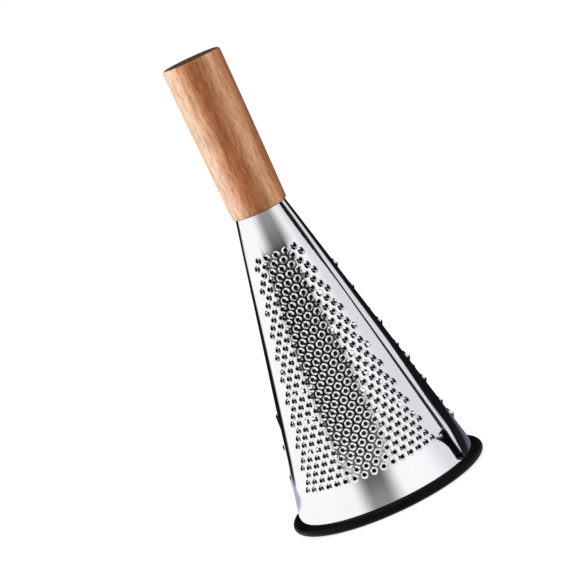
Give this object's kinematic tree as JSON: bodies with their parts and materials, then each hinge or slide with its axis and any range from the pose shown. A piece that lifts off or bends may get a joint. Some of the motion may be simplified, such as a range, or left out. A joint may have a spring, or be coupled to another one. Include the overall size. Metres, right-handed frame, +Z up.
{
  "type": "cone grater",
  "caption": "Standing cone grater: polished steel cone with fine, coarse and slicing teeth, wooden handle on top and a rubber foot ring.",
  "frame": {"origin": "middle of the foot ring, on the surface that the grater stands on", "axes": "+Z up along the cone's axis to the handle, -Y out through the middle of the fine teeth, +X to the right as seen from there"},
  "size_m": [0.1056, 0.1058, 0.243],
  "materials": {
    "polished_steel": "mirror polished stainless sheet",
    "rubber": "satin black",
    "wood": "oiled, grain along the handle",
    "zinc_steel": "zinc plated"
  },
  "bodies": {
    "root": {"grating_cone": "polished_steel", "foot_ring": "rubber", "handle": "wood", "neck_plate": "polished_steel", "washer": "zinc_steel", "handle_screw": "zinc_steel"}
  },
  "joints": []
}
